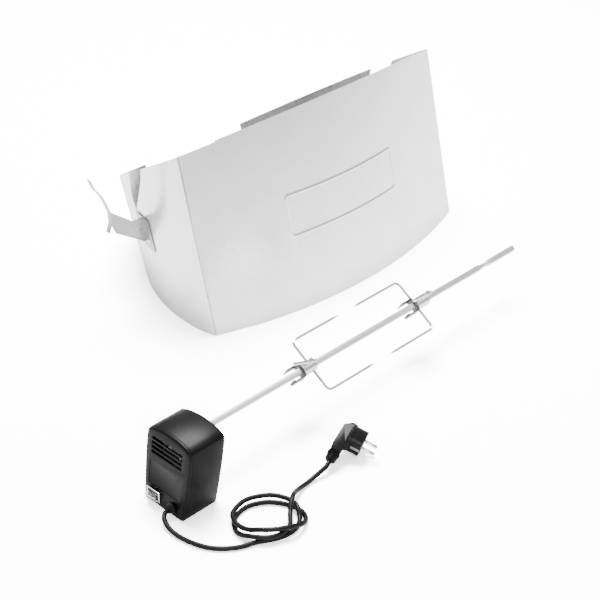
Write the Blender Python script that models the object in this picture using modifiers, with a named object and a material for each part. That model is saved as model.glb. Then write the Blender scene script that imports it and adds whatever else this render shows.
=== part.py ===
"""Rotisserie spit roaster: a steel collar for a kettle grill, a spit with two forks and a motor unit.

Metres, +Z up. The spit runs along +X, away from the motor. The origin is on the floor, under the
middle of the set.
"""
import math

import bmesh
import bpy
from mathutils import Matrix, Vector

MM = 0.001
GAP = 0.3 * MM                      # clearance between neighbouring pieces
SHEET = 1.0 * MM                    # collar sheet thickness

# collar, drawn about the middle of the line between its two seams
COLLAR_X = 153.8 * MM
COLLAR_Y = -30.2 * MM
COLLAR_Z = 0.45 * MM                # lifts the slanted lower edges clear of the floor
SEAM_X = 266.4 * MM                 # half the distance between the seams
FRONT_BULGE = 48.2 * MM             # how far the front panel bows out
SIDE_A = 274.0 * MM                 # half axes of the ellipse that the side panels follow
SIDE_B = 283.8 * MM
SIDE_Y = 47.2 * MM                  # centre of that ellipse
LEAN = math.radians(14.8)           # the walls lean back by this
SEAM_HEIGHT = 283.5 * MM            # wall length at the seams, along the slope
HEIGHT_FALL = 0.588                 # the rim falls by this much per metre towards the back
REAR_GAP = 106.0 * MM               # half width of the lid hinge cut-out
FLANGE = 13.0 * MM                  # width of the folded seam flanges
SEAM_GAP = 1.0 * MM                 # half the gap between two seam flanges
LIP = 9.0 * MM                      # width of the hem under the front panel

# motor unit, drawn from the middle of its base
MOTOR_X = -416.7 * MM
MOTOR_Y = -271.4 * MM
CASE_FRONT = -8.0 * MM              # vented face at the base, from MOTOR_X
CASE_DEPTH = 59.5 * MM
CASE_LEAN = 0.155                   # how far the faces lean along +X per metre of height
CASE_WALL = 2.2 * MM
COVER_DEPTH = 4.5 * MM
LOUVRES = 4
LOUVRE_LOW = 70.4 * MM
LOUVRE_STEP = 6.5 * MM
LOUVRE_HEIGHT = 4.4 * MM
AXIS_Y = MOTOR_Y + 12.6 * MM        # spit axis
AXIS_Z = 77.6 * MM

# gear train: four axes in the Y-Z plane, relative to the motor unit
GEAR_MODULE = 0.8 * MM
WHEEL_TEETH = 40
PINION_TEETH = 10
GEAR_AXES = [(12.6 * MM, 77.6 * MM), (-4.7 * MM, 67.6 * MM), (5.3 * MM, 50.3 * MM), (-6.0 * MM, 33.8 * MM)]
GEAR_PLANES = [37.0 * MM, 31.0 * MM, 25.0 * MM]     # X of the three pairs of meshing gears
GEAR_WIDTH = 3.5 * MM

# spit and forks
SPIT_SIDE = 8.0 * MM
SPIT_ROLL = math.radians(32.0)
SPIT_START = 43.0 * MM
SPIT_END = 708.8 * MM
NECK_START = 626.0 * MM
NECK_END = 650.0 * MM
FORK_X = [269.9 * MM, 484.6 * MM]   # crossbar of each fork
FORK_SIGN = [1, -1]                 # prongs of the first fork point away from the motor
PRONG = 92.0 * MM
CROSSBAR = 42.5 * MM                # half the distance between a fork's prongs
WIRE = 2.0 * MM                     # wire radius
HUB_START = [252.5 * MM, 484.0 * MM]
WEB_X = [252.2 * MM, 481.8 * MM]    # clamp bracket of each fork
HUB_LENGTH = 24.0 * MM
HUB_RADIUS = 9.0 * MM
SCREW_X = [258.3 * MM, 494.5 * MM]  # thumbscrew of each fork

# cord and plug
CORD_RADIUS = 3.25 * MM
GLAND_Y = MOTOR_Y - 17.0 * MM
GLAND_Z = 12.0 * MM
PLUG_FACE = Vector((-165.4, -376.5, 18.6)) * MM
PLUG_PINS = Vector((0.37, -0.87, -0.32)).normalized()
PLUG_CABLE = Vector((-0.92, -0.29, -0.27))
PLUG_CABLE = (PLUG_CABLE - PLUG_PINS * PLUG_PINS.dot(PLUG_CABLE)).normalized()
PLUG_DEPTH = 28.0 * MM              # from the pin face back to the cable's axis
BOOT_LENGTH = 47.0 * MM

COLOURS = {
    "stainless": ((0.62, 0.62, 0.61, 1), 0.28, 1.0),
    "chrome": ((0.78, 0.78, 0.78, 1), 0.1, 1.0),
    "dark_steel": ((0.1, 0.1, 0.1, 1), 0.35, 1.0),
    "black_plastic": ((0.015, 0.015, 0.016, 1), 0.45, 0.0),
    "black_rubber": ((0.02, 0.02, 0.02, 1), 0.55, 0.0),
    "white_plastic": ((0.75, 0.74, 0.7, 1), 0.4, 0.0),
    "copper": ((0.7, 0.32, 0.15, 1), 0.35, 1.0),
    "clear_rubber": ((0.75, 0.76, 0.78, 1), 0.2, 0.0),
    "brass": ((0.75, 0.55, 0.25, 1), 0.25, 1.0),
}


def clear_scene():
    for item in list(bpy.data.objects):
        bpy.data.objects.remove(item, do_unlink=True)


def new_collection(name):
    collection = bpy.data.collections.new(name)
    bpy.context.scene.collection.children.link(collection)
    return collection


def material(name):
    if name in bpy.data.materials:
        return bpy.data.materials[name]
    colour, roughness, metallic = COLOURS[name]
    made = bpy.data.materials.new(name)
    made.use_nodes = True
    shader = made.node_tree.nodes["Principled BSDF"]
    shader.inputs["Base Color"].default_value = colour
    shader.inputs["Roughness"].default_value = roughness
    shader.inputs["Metallic"].default_value = metallic
    return made


def finish(name, bm, slot, place=None):
    """Turn a bmesh into a named part in the parts collection."""
    bmesh.ops.recalc_face_normals(bm, faces=bm.faces)
    mesh = bpy.data.meshes.new(name)
    bm.to_mesh(mesh)
    bm.free()
    mesh.materials.append(material(slot))
    obj = bpy.data.objects.new(name, mesh)
    if place is not None:
        obj.matrix_world = place
    PARTS.objects.link(obj)
    return obj


def as_cutter(obj):
    PARTS.objects.unlink(obj)
    CUTTERS.objects.link(obj)
    obj.hide_render = True
    obj.display_type = "WIRE"
    return obj


def combine(obj, others, operation="DIFFERENCE"):
    """Cut the others from a part, or weld them to it."""
    for other in others:
        as_cutter(other)
        boolean = obj.modifiers.new("cut " + other.name, "BOOLEAN")
        boolean.operation = operation
        boolean.solver = "EXACT"
        boolean.object = other
    return obj


def box(name, slot, low, high, place=None, bevel=0.0):
    bm = bmesh.new()
    bmesh.ops.create_cube(bm, size=1.0)
    low = Vector(low)
    high = Vector(high)
    for vert in bm.verts:
        vert.co = Vector((low[i] + (vert.co[i] + 0.5) * (high[i] - low[i]) for i in range(3)))
    obj = finish(name, bm, slot, place)
    if bevel > 0.0:
        round_edges(obj, bevel)
    return obj


def round_edges(obj, width, segments=2):
    bevel = obj.modifiers.new("rounded edges", "BEVEL")
    bevel.width = width
    bevel.segments = segments
    bevel.limit_method = "ANGLE"
    bevel.angle_limit = math.radians(40)


def turned(name, slot, profile, place, steps=24):
    """Lathe a closed profile of (radius, height) points about the local Z axis."""
    bm = bmesh.new()
    verts = [bm.verts.new((radius, 0.0, height)) for radius, height in profile]
    ring = [bm.edges.new((verts[i], verts[i + 1])) for i in range(len(verts) - 1)]
    if profile[0][0] > 0.0:
        ring.append(bm.edges.new((verts[-1], verts[0])))
    bmesh.ops.spin(bm, geom=verts + ring, cent=(0, 0, 0), axis=(0, 0, 1), dvec=(0, 0, 0),
                   angle=2 * math.pi, steps=steps, use_merge=True)
    bmesh.ops.remove_doubles(bm, verts=bm.verts, dist=1e-6)
    return finish(name, bm, slot, place)


def rod_profile(radius, start, end):
    return [(0.0, start), (radius, start), (radius, end), (0.0, end)]


def tube_profile(inner, outer, start, end):
    return [(inner, start), (outer, start), (outer, end), (inner, end)]


def frame_at(origin, z_axis, x_hint=(0, 0, 1)):
    """A placement whose local Z is z_axis and whose local X is as near x_hint as it can be."""
    z_axis = Vector(z_axis).normalized()
    x_axis = Vector(x_hint)
    x_axis = (x_axis - z_axis * z_axis.dot(x_axis)).normalized()
    y_axis = z_axis.cross(x_axis)
    turn = Matrix((x_axis, y_axis, z_axis)).transposed().to_4x4()
    return Matrix.Translation(Vector(origin)) @ turn


def along_x(x, y, z):
    """Local Z runs along world +X, local X runs up."""
    return frame_at((x, y, z), (1, 0, 0))


def slab(name, slot, outline, thickness, place):
    """A flat outline in the local XY plane, extruded both ways by half its thickness."""
    bm = bmesh.new()
    face = bm.faces.new([bm.verts.new((x, y, -thickness / 2)) for x, y in outline])
    grown = bmesh.ops.extrude_face_region(bm, geom=[face])
    moved = [item for item in grown["geom"] if isinstance(item, bmesh.types.BMVert)]
    bmesh.ops.translate(bm, verts=moved, vec=(0, 0, thickness))
    return finish(name, bm, slot, place)


def loft(name, slot, rings, place=None):
    """Skin a row of closed rings with the same number of points and cap both ends."""
    bm = bmesh.new()
    loops = [[bm.verts.new(point) for point in ring] for ring in rings]
    count = len(loops[0])
    for near, far in zip(loops, loops[1:]):
        for i in range(count):
            j = (i + 1) % count
            bm.faces.new((near[i], near[j], far[j], far[i]))
    bm.faces.new(list(reversed(loops[0])))
    bm.faces.new(loops[-1])
    return finish(name, bm, slot, place)


def smooth_curve(route, count):
    """Points at even spacing along a smooth curve through the route's points."""
    fine = []
    ends = [route[0] * 2 - route[1]] + list(route) + [route[-1] * 2 - route[-2]]
    for a, b, c, d in zip(ends, ends[1:], ends[2:], ends[3:]):
        for step in range(12):
            t = step / 12
            fine.append((b * 2 + (c - a) * t + (a * 2 - b * 5 + c * 4 - d) * t * t
                         + (b * 3 - a - c * 3 + d) * t * t * t) / 2)
    fine.append(Vector(route[-1]))
    lengths = [0.0]
    for near, far in zip(fine, fine[1:]):
        lengths.append(lengths[-1] + (far - near).length)
    points = []
    index = 0
    for step in range(count):
        target = lengths[-1] * step / (count - 1)
        while index < len(fine) - 2 and lengths[index + 1] < target:
            index += 1
        share = (target - lengths[index]) / (lengths[index + 1] - lengths[index])
        points.append(fine[index].lerp(fine[index + 1], share))
    return points


def wire(name, slot, points, radius, resolution=2):
    """A round wire along a polyline, as a closed mesh."""
    data = bpy.data.curves.new(name, "CURVE")
    data.dimensions = "3D"
    data.bevel_depth = radius
    data.bevel_resolution = resolution
    data.use_fill_caps = True
    spline = data.splines.new("POLY")
    spline.points.add(len(points) - 1)
    for slot_point, point in zip(spline.points, points):
        slot_point.co = (*point, 1.0)
    guide = bpy.data.objects.new(name + " guide", data)
    PARTS.objects.link(guide)
    graph = bpy.context.evaluated_depsgraph_get()
    mesh = bpy.data.meshes.new_from_object(guide.evaluated_get(graph))
    bpy.data.objects.remove(guide, do_unlink=True)
    bm = bmesh.new()
    bm.from_mesh(mesh)
    bmesh.ops.remove_doubles(bm, verts=bm.verts, dist=1e-6)
    return finish(name, bm, slot)


# ---------------------------------------------------------------- collar

def wall_point(x, y, slope):
    """World point of the collar wall: an outline point carried up the leaning wall."""
    share = slope / (300 * MM)
    wide = x * (1 + 0.008 * share)
    deep = SIDE_Y + (y - SIDE_Y) * (1 + 0.12 * share)
    return Vector((COLLAR_X + wide, COLLAR_Y + deep + slope * math.sin(LEAN),
                   COLLAR_Z + slope * math.cos(LEAN)))


def wall_place(near, far, slope, towards):
    """Placement on a leaning sheet at outline point near; local Z is the sheet's normal."""
    spot = wall_point(*near, slope)
    along = wall_point(*far, slope) - spot
    up = wall_point(*near, slope + 1 * MM) - spot
    outward = along.cross(up)
    if outward.dot(towards) < 0:
        outward.negate()
    return frame_at(spot, outward)


def rim_slope(y):
    return SEAM_HEIGHT - HEIGHT_FALL * y


def front_outline(x):
    radius = (SEAM_X ** 2 + FRONT_BULGE ** 2) / (2 * FRONT_BULGE)
    return radius - FRONT_BULGE - math.sqrt(radius ** 2 - x ** 2)


def side_outline(angle):
    """Point of the right side panel's outline; the pull-in meets the seam line."""
    x = SIDE_A * math.cos(angle)
    y = SIDE_Y + SIDE_B * math.sin(angle)
    pull = max(0.0, 1 - y / SIDE_Y)
    return x - 3.8 * MM * pull ** 2, y


def seam_points(side, half):
    """The corner and the flange tip at one seam; half is +1 for the side panel, -1 for the front."""
    inward = Vector((-0.79 * side, 0.61))
    across = Vector((0.61 * side, 0.79))
    corner = Vector((SEAM_X * side, 0.0)) + across * half * SEAM_GAP
    return corner, corner + inward * FLANGE


def wall_sheet(name, columns, rows, bosses=None, lip_columns=None):
    """A leaning wall from outline columns and slope rows, as one solidified sheet."""
    bm = bmesh.new()
    grid = []
    for index, (x, y, top) in enumerate(columns):
        line = []
        for row in rows:
            slope = top if row is None else row
            point = wall_point(x, y, slope)
            if bosses is not None:
                point += bosses(x, slope)
            line.append(bm.verts.new(point))
        grid.append(line)
    for near, far in zip(grid, grid[1:]):
        for i in range(len(rows) - 1):
            bm.faces.new((near[i], far[i], far[i + 1], near[i + 1]))
    if lip_columns is not None:
        first, last = lip_columns
        hem = [bm.verts.new(grid[i][0].co + Vector((0, LIP, 0))) for i in range(first, last + 1)]
        for i in range(first, last):
            bm.faces.new((grid[i][0], hem[i - first], hem[i - first + 1], grid[i + 1][0]))
    bmesh.ops.recalc_face_normals(bm, faces=bm.faces)
    centre = wall_point(0, 100 * MM, 100 * MM)
    probe = max(bm.faces, key=lambda face: face.calc_area())
    if (probe.calc_center_median() - centre).dot(probe.normal) < 0:
        bmesh.ops.reverse_faces(bm, faces=bm.faces)
    mesh = bpy.data.meshes.new(name)
    bm.to_mesh(mesh)
    bm.free()
    mesh.materials.append(material("stainless"))
    obj = bpy.data.objects.new(name, mesh)
    PARTS.objects.link(obj)
    solid = obj.modifiers.new("sheet", "SOLIDIFY")
    solid.thickness = SHEET
    solid.offset = -1.0
    solid.use_even_offset = True
    return obj


PLATE_LEFT = -122.5 * MM
PLATE_RIGHT = 106.5 * MM
PLATE_LOW = 117.7 * MM
PLATE_HIGH = 186.5 * MM
PLATE_EDGE = 2.0 * MM
PLATE_RISE = 1.4 * MM


def plate_boss(x, slope):
    """The blank pressed plate on the front panel stands out a little."""
    inside_x = PLATE_LEFT + PLATE_EDGE / 2 < x < PLATE_RIGHT - PLATE_EDGE / 2
    inside_z = PLATE_LOW + PLATE_EDGE / 2 < slope < PLATE_HIGH - PLATE_EDGE / 2
    if inside_x and inside_z:
        return Vector((0, -PLATE_RISE, 0))
    return Vector((0, 0, 0))


def front_panel():
    stations = [-245, -212, -180, -150, PLATE_LEFT / MM, PLATE_LEFT / MM + 2, -92, -60, -30, 0, 30, 60, 82,
                PLATE_RIGHT / MM - 2, PLATE_RIGHT / MM, 150, 180, 212, 245]
    columns = []
    corner, tip = seam_points(-1, -1)
    columns.append((tip.x, tip.y, rim_slope(0.0)))
    columns.append((corner.x, corner.y, rim_slope(0.0)))
    for station in stations:
        x = station * MM
        y = front_outline(x) - SEAM_GAP / 2
        columns.append((x, y, rim_slope(y)))
    corner, tip = seam_points(1, -1)
    columns.append((corner.x, corner.y, rim_slope(0.0)))
    columns.append((tip.x, tip.y, rim_slope(0.0)))
    rows = [0.0, 60 * MM, PLATE_LOW, PLATE_LOW + PLATE_EDGE, PLATE_HIGH - PLATE_EDGE, PLATE_HIGH, None]
    panel = wall_sheet("front_panel", columns, rows, plate_boss, (3, len(columns) - 4))
    return combine(panel, [seam_hole(side, height, -1) for side in (-1, 1) for height in SEAM_SCREWS])


def side_panel(name, side):
    columns = []
    corner, tip = seam_points(1, 1)
    columns.append((tip.x * side, tip.y, rim_slope(0.0)))
    columns.append((corner.x * side, corner.y, rim_slope(0.0)))
    start = math.radians(-6.0)
    end = math.acos(REAR_GAP / SIDE_A)
    count = 20
    for i in range(count + 1):
        x, y = side_outline(start + (end - start) * i / count)
        columns.append((x * side, y, rim_slope(y)))
    panel = wall_sheet(name, columns, [0.0, None])
    holes = [seam_hole(side, height, 1) for height in SEAM_SCREWS]
    holes.append(notch_cutter(side))
    holes += [bridge_hole(side, height) for height in BRIDGE_RIVETS]
    if side < 0:
        holes.append(slit_cutter())
        holes += [bracket_hole(which) for which in (0, 1)]
    return combine(panel, holes)


SEAM_SCREWS = [60.0 * MM, 225.0 * MM]


def seam_place(side, height):
    """Middle of the flange gap; local Z runs across both flanges, towards the side panel."""
    inward = Vector((-0.79 * side, 0.61))
    across = Vector((0.61 * side, 0.79, 0.0))
    spot = Vector((SEAM_X * side, 0.0)) + inward * FLANGE * 0.62
    return wall_place(spot, spot + inward * MM, height, across)


def seam_hole(side, height, half):
    name = f"seam hole {side} {height:.3f} {half}"
    return turned(name, "dark_steel", rod_profile(2.3 * MM, -6 * MM, 6 * MM), seam_place(side, height), 12)


def seam_fasteners():
    """Screws through both flanges, heads on the front panel's flange, nuts on the side panel's."""
    outer = SEAM_GAP * 1.25 + SHEET + GAP
    for side, word in ((-1, "left"), (1, "right")):
        for height, level in zip(SEAM_SCREWS, ("low", "high")):
            place = seam_place(side, height)
            profile = [(0.0, -outer - 2.4 * MM), (2.6 * MM, -outer - 1.8 * MM), (3.2 * MM, -outer),
                       (2.0 * MM, -outer), (2.0 * MM, outer + 5 * MM), (0.0, outer + 5 * MM)]
            turned(f"seam_screw_{word}_{level}", "chrome", profile, place, 12)
            nut = tube_profile(2.3 * MM, 3.6 * MM, outer, outer + 3 * MM)
            turned(f"seam_nut_{word}_{level}", "chrome", nut, place, 6)


def notch_cutter(side):
    """The open notch in a side wall that the spit lies in, cut along X."""
    front = [(86, 230), (92, 213), (116, 173), (136, 145)]
    rear = [(137, 150), (139, 169), (134, 187), (126.5, 207)]
    outline = []
    for y, slope in front + rear:
        point = wall_point(0, y * MM, slope * MM)
        outline.append((point.y, point.z))
    top = 290 * MM
    outline.append((outline[-1][0] - 4 * MM, top))
    outline.append((outline[0][0] - 30 * MM, top))
    return through_wall(f"notch cutter {side}", side, outline)


def slit_cutter():
    """The narrow slit that runs down from the left notch."""
    low = wall_point(0, 135.5 * MM, 62 * MM)
    high = wall_point(0, 136.2 * MM, 149 * MM)
    half = 0.8 * MM
    outline = [(low.y - half, low.z), (low.y + half, low.z), (high.y + half, high.z), (high.y - half, high.z)]
    return through_wall("slit cutter", -1, outline)


def through_wall(name, side, outline):
    place = Matrix(((0, 0, 1, COLLAR_X + side * 270 * MM), (1, 0, 0, 0), (0, 1, 0, 0), (0, 0, 0, 1)))
    return slab(name, "dark_steel", outline, 80 * MM, place)


BRIDGE_RIVETS = [12.0 * MM, 32.0 * MM]
BRIDGE_HEIGHT = 44.0 * MM


def rear_outline(x, inset):
    y = SIDE_Y + SIDE_B * math.sqrt(1 - (x / SIDE_A) ** 2)
    normal = Vector((x / SIDE_A ** 2, (y - SIDE_Y) / SIDE_B ** 2)).normalized()
    return x - normal.x * inset, y - normal.y * inset


def bridge_place(side, height):
    x = side * (REAR_GAP + 10 * MM)
    return wall_place(rear_outline(x, 0.0), rear_outline(x + 1 * MM, 0.0), height, Vector((0, 1, 0)))


def bridge_hole(side, height):
    name = f"bridge hole {side} {height:.3f}"
    return turned(name, "dark_steel", rod_profile(1.9 * MM, -8 * MM, 6 * MM), bridge_place(side, height), 12)


def rear_bridge():
    """A low strip behind the lid hinge closes the ring."""
    half = REAR_GAP + 18 * MM
    columns = []
    count = 12
    for i in range(count + 1):
        x, y = rear_outline(half * (2 * i / count - 1), SHEET + 2 * GAP)
        columns.append((x, y, BRIDGE_HEIGHT))
    strip = wall_sheet("rear_bridge", columns, [0.0, None])
    return combine(strip, [bridge_hole(side, h) for side in (-1, 1) for h in BRIDGE_RIVETS])


def rivet(name, place, grip_in, grip_out):
    """A rivet with a domed head outside and a flat head inside the grip."""
    profile = [(0.0, -grip_in - 1.0 * MM), (2.8 * MM, -grip_in - 1.0 * MM), (2.8 * MM, -grip_in),
               (1.6 * MM, -grip_in), (1.6 * MM, grip_out), (3.2 * MM, grip_out),
               (2.6 * MM, grip_out + 1.0 * MM), (0.0, grip_out + 1.4 * MM)]
    return turned(name, "chrome", profile, place, 10)


def bridge_rivets():
    for side, word in ((-1, "left"), (1, "right")):
        for height, level in zip(BRIDGE_RIVETS, ("low", "high")):
            rivet(f"bridge_rivet_{word}_{level}", bridge_place(side, height), 3.4 * MM, 0.7 * MM)


# ---------------------------------------------------------------- motor bracket

BRACKET_Y = 391 * MM + MOTOR_Y      # plane of the bracket's arm
BRACKET_SHEET = 1.5 * MM
BRACKET_RIVETS = [(106.0 * MM, 112.0 * MM), (128.0 * MM, 112.0 * MM)]


def left_wall(y, outset):
    """Outline point of the left wall at outline depth y, moved outwards."""
    angle = math.asin((y - SIDE_Y) / SIDE_B)
    x = -SIDE_A * math.cos(angle)
    normal = Vector((x / SIDE_A ** 2, (y - SIDE_Y) / SIDE_B ** 2)).normalized()
    return x + normal.x * outset, y + normal.y * outset


def bracket_place(which):
    y, slope = BRACKET_RIVETS[which]
    return wall_place(left_wall(y, 0.0), left_wall(y + 1 * MM, 0.0), slope, Vector((-1, 0, 0)))


def bracket_hole(which):
    return turned(f"bracket hole {which}", "dark_steel", rod_profile(1.9 * MM, -6 * MM, 8 * MM),
                  bracket_place(which), 12)


def motor_bracket():
    """A flange riveted to the left wall, an upright arm, and the wavy finger that holds the motor."""
    rings = []
    for y in (99, 108, 117, 126, 133):
        inner = left_wall(y * MM, 2 * GAP)
        outer = left_wall(y * MM, 2 * GAP + BRACKET_SHEET)
        low = 96 * MM
        high = 147 * MM
        rings.append([wall_point(*inner, low), wall_point(*outer, low),
                      wall_point(*outer, high), wall_point(*inner, high)])
    flange = loft("motor_bracket", "stainless", rings)
    arm = [(303.6, 104), (300.9, 146), (279, 146), (236.6, 179), (237.4, 160), (246, 139), (298, 104)]
    arm = [(MOTOR_X + x * MM, z * MM) for x, z in arm]
    upright = Matrix(((1, 0, 0, 0), (0, 0, -1, BRACKET_Y), (0, 1, 0, 0), (0, 0, 0, 1)))
    plate = slab("bracket arm", "stainless", arm, BRACKET_SHEET, upright)
    path = [(232, 146), (237.8, 160), (236.6, 178), (229, 198), (223, 211), (212, 226), (205, 243)]
    finger = slab("bracket finger", "stainless", strip_outline(path), 8 * MM, upright)
    combine(flange, [plate, finger], "UNION")
    return combine(flange, [bracket_hole(which) for which in (0, 1)])


def strip_outline(path):
    """Both sides of a bent strip seen edge on."""
    points = [Vector((MOTOR_X + x * MM, z * MM)) for x, z in path]
    left = []
    right = []
    for i, point in enumerate(points):
        before = points[max(i - 1, 0)]
        after = points[min(i + 1, len(points) - 1)]
        along = (after - before).normalized()
        across = Vector((-along.y, along.x)) * BRACKET_SHEET / 2
        left.append(point + across)
        right.append(point - across)
    return [tuple(point) for point in left + right[::-1]]


def bracket_rivets():
    for which, word in ((0, "front"), (1, "rear")):
        rivet(f"bracket_rivet_{word}", bracket_place(which), SHEET + 3 * GAP, 2 * GAP + BRACKET_SHEET + GAP)


# ---------------------------------------------------------------- motor housing

def case_ring(depth, inset):
    """Cross-section of the housing at a depth behind the vented face, shrunk by an inset."""
    right = [(35.6, 0.0), (37.2, 2.5), (38.8, 22.0), (40.5, 45.0), (41.6, 70.0), (41.6, 90.0), (40.8, 99.0),
             (38.4, 101.8)]
    crown = [(29.0, 105.0), (19.5, 107.0), (9.5, 108.1), (0.0, 108.4)]
    half = right + crown
    outline = half + [(-y, z) for y, z in half[-2::-1]]
    points = []
    for y, z in outline:
        y = y * MM
        z = z * MM
        shrunk_y = y * (1 - inset / (42 * MM))
        shrunk_z = 54 * MM + (z - 54 * MM) * (1 - inset / (54 * MM))
        x = MOTOR_X + CASE_FRONT + CASE_LEAN * shrunk_z + depth
        points.append(Vector((x, MOTOR_Y + shrunk_y, shrunk_z)))
    return points


def front_cover():
    rings_out = [case_ring(0.0, 3.0 * MM), case_ring(0.5 * MM, 1.5 * MM), case_ring(1.5 * MM, 0.6 * MM),
                 case_ring(3.0 * MM, 0.2 * MM), case_ring(COVER_DEPTH, 0.2 * MM)]
    rings_in = [case_ring(COVER_DEPTH, CASE_WALL + 0.6 * MM), case_ring(CASE_WALL, CASE_WALL + 0.8 * MM)]
    cover = loft("front_cover", "black_plastic", rings_out + rings_in)
    cuts = []
    for i in range(LOUVRES):
        z = LOUVRE_LOW + LOUVRE_STEP * i
        cuts.append(box(f"louvre {i}", "black_plastic", (MOTOR_X - 9 * MM, MOTOR_Y - 27 * MM, z),
                        (MOTOR_X + 13 * MM, MOTOR_Y + 30 * MM, z + LOUVRE_HEIGHT)))
    lean = math.atan(CASE_LEAN)
    label = Matrix.Translation((MOTOR_X + CASE_FRONT, MOTOR_Y, 0)) @ Matrix.Rotation(lean, 4, "Y")
    cuts.append(box("label recess", "black_plastic", (-3 * MM, -28 * MM, 26 * MM),
                    (0.7 * MM, 31 * MM, 60 * MM), label))
    cuts.append(box("switch opening", "black_plastic",
                    (MOTOR_X - 14 * MM, SWITCH_Y - 9.9 * MM, SWITCH_Z - 6.5 * MM),
                    (MOTOR_X + 2 * MM, SWITCH_Y + 9.9 * MM, SWITCH_Z + 6.5 * MM)))
    cuts.append(turned("gland opening", "black_plastic", rod_profile(6.3 * MM, -12 * MM, 2 * MM),
                       along_x(MOTOR_X, GLAND_Y, GLAND_Z), 24))
    return combine(cover, cuts)


def rear_housing():
    start = COVER_DEPTH + GAP
    rings_out = [case_ring(CASE_DEPTH, 4.0 * MM), case_ring(CASE_DEPTH - 0.8 * MM, 1.8 * MM),
                 case_ring(CASE_DEPTH - 2.4 * MM, 0.5 * MM), case_ring(CASE_DEPTH - 4.5 * MM, 0.0),
                 case_ring(start, 0.0)]
    rings_in = [case_ring(start, CASE_WALL), case_ring(CASE_DEPTH - CASE_WALL, CASE_WALL + 0.6 * MM)]
    housing = loft("rear_housing", "black_plastic", rings_out + rings_in)
    cuts = [turned("bushing opening", "black_plastic", rod_profile(11.3 * MM, 48 * MM, 70 * MM),
                   along_x(MOTOR_X, AXIS_Y, AXIS_Z), 32)]
    for index, (y, z) in enumerate(CASE_SCREWS):
        cuts.append(turned(f"screw opening {index}", "black_plastic", rod_profile(2.0 * MM, 40 * MM, 70 * MM),
                           along_x(MOTOR_X, MOTOR_Y + y, z), 12))
    return combine(housing, cuts)


CASE_SCREWS = [(-31 * MM, 12 * MM), (31 * MM, 12 * MM), (-33 * MM, 88 * MM), (34 * MM, 86 * MM)]


def back_face_x(z):
    return MOTOR_X + CASE_FRONT + CASE_DEPTH + CASE_LEAN * z


def case_screws():
    for index, (y, z) in enumerate(CASE_SCREWS):
        face = back_face_x(z) - MOTOR_X + 0.6 * MM
        profile = [(0.0, 34 * MM), (1.6 * MM, 34 * MM), (1.6 * MM, face), (3.2 * MM, face),
                   (2.6 * MM, face + 1.6 * MM), (0.0, face + 2.0 * MM)]
        turned(f"case_screw_{index + 1}", "chrome", profile, along_x(MOTOR_X, MOTOR_Y + y, z), 16)


def hanger_plate():
    """Steel keeper on the back of the housing that drops over the bracket's finger."""
    lean = math.atan(CASE_LEAN)
    place = Matrix.Translation((back_face_x(0.0) + GAP, MOTOR_Y, 0)) @ Matrix.Rotation(lean, 4, "Y")
    plate = box("hanger_plate", "stainless", (0.2 * MM, -16 * MM, 20 * MM), (1.7 * MM, 16 * MM, 56 * MM),
                place)
    loop = box("hanger slot", "stainless", (-2 * MM, -5 * MM, 38 * MM), (4 * MM, 5 * MM, 44 * MM), place)
    return combine(plate, [loop])


def output_bushing():
    face = back_face_x(AXIS_Z) - MOTOR_X
    profile = [(8.4 * MM, face - 4 * MM), (11.0 * MM, face - 4 * MM), (11.0 * MM, face + 1.4 * MM),
               (10.2 * MM, face + 2.4 * MM), (8.4 * MM, face + 2.4 * MM)]
    return turned("output_bushing", "dark_steel", profile, along_x(MOTOR_X, AXIS_Y, AXIS_Z), 32)


# ---------------------------------------------------------------- drive train

def gear_outline(teeth, phase):
    """Straight-sided teeth with a little backlash."""
    pitch = teeth * GEAR_MODULE / 2
    step = 2 * math.pi / teeth
    points = []
    for tooth in range(teeth):
        middle = phase + tooth * step
        for radius, share in ((pitch - 1.0 * MM, -0.27), (pitch + 0.6 * MM, -0.12),
                              (pitch + 0.6 * MM, 0.12), (pitch - 1.0 * MM, 0.27)):
            angle = middle + share * step
            points.append((radius * math.cos(angle), radius * math.sin(angle)))
    return points


def gear(name, slot, teeth, axis, x, phase):
    """Outline angles are measured from +Y towards +Z."""
    turn = Matrix(((0, 0, 1, x), (1, 0, 0, axis[0]), (0, 1, 0, axis[1]), (0, 0, 0, 1)))
    return slab(name, slot, gear_outline(teeth, phase), GEAR_WIDTH, turn)


def axis_at(index):
    y, z = GEAR_AXES[index]
    return MOTOR_Y + y, z


def direction(a, b):
    start = axis_at(a)
    end = axis_at(b)
    return math.atan2(end[1] - start[1], end[0] - start[0])


def shaft(name, slot, index, radius, start, end):
    y, z = axis_at(index)
    return turned(name, slot, rod_profile(radius, start, end), along_x(MOTOR_X, y, z), 16)


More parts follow.
